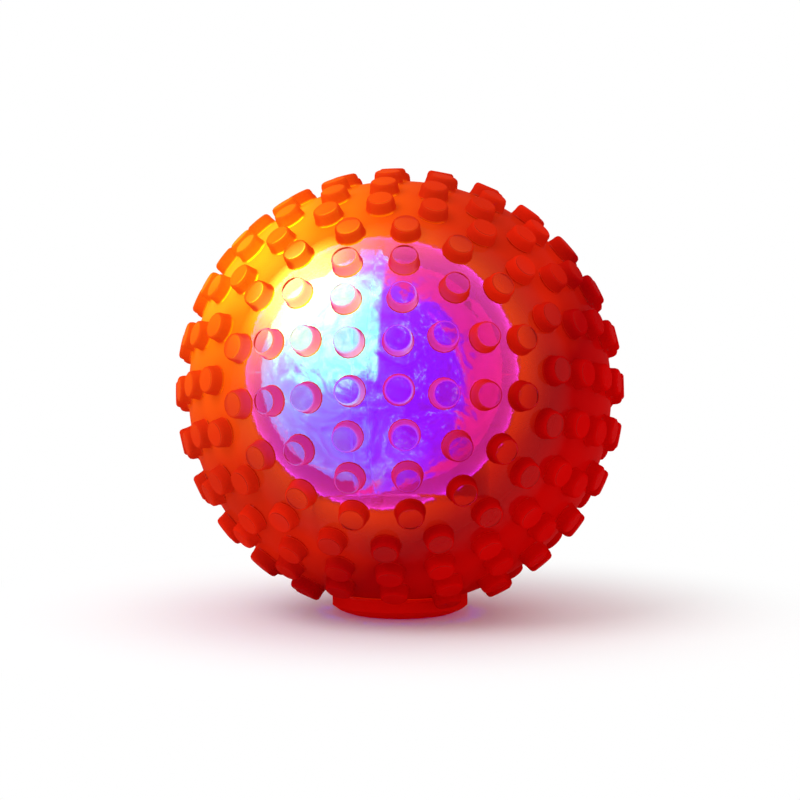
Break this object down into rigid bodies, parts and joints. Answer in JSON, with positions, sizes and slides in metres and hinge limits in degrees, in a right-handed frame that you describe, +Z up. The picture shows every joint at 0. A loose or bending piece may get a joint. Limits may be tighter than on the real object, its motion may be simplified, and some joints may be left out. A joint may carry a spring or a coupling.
{
  "type": "light-up dog ball",
  "caption": "Studded translucent rubber dog ball with a smooth round foot plug and a clear capsule inside that holds a flashing light unit with a knock switch.",
  "frame": {"origin": "middle of the flat foot on the underside of the plug", "axes": "+Z up through the ball's centre, -Y towards the front pole of the stud rings, -X the side the lamps point to"},
  "size_m": [0.065, 0.065, 0.0647],
  "materials": {
    "rubber_shell": "translucent orange, glossy",
    "rubber_plug": "translucent deep orange, smooth",
    "clear_capsule": "clear, lit from inside",
    "board": "solder-masked laminate",
    "blue_lamp": "clear resin, lit blue",
    "red_lamp": "tinted resin, lit red",
    "tinned_lead": "tinned",
    "resin": "black resin",
    "resistor": "black with tinned ends",
    "spring_steel": "drawn wire",
    "brass_post": "bright",
    "cell_steel": "nickel-plated",
    "black_plastic": "matte",
    "plated_strip": "nickel-plated strip"
  },
  "bodies": {
    "ball": {"ball_shell": "rubber_shell", "base_plug": "rubber_plug", "capsule_left": "clear_capsule", "capsule_right": "clear_capsule", "circuit_board": "board", "led_blue": "blue_lamp", "led_red": "red_lamp", "led_blue_anode": "tinned_lead", "led_blue_cathode": "tinned_lead", "led_red_anode": "tinned_lead", "led_red_cathode": "tinned_lead", "flasher_chip": "resin", "led_resistor_1": "resistor", "led_resistor_2": "resistor", "switch_post": "brass_post", "cell_1": "cell_steel", "cell_2": "cell_steel", "cell_3": "cell_steel", "cell_holder": "black_plastic", "negative_contact": "plated_strip", "positive_strap": "plated_strip"},
    "switch_coil": {"switch_spring": "spring_steel"}
  },
  "joints": [
    {"name": "switch_sway", "type": "hinge", "parent": "ball", "child": "switch_coil", "pos_m": [-0.0049, -0.0038, 0.0282], "axis": [1, 0, 0], "range_deg": [-5, 5], "stiffness_Nm_per_rad": 0.0002}
  ]
}
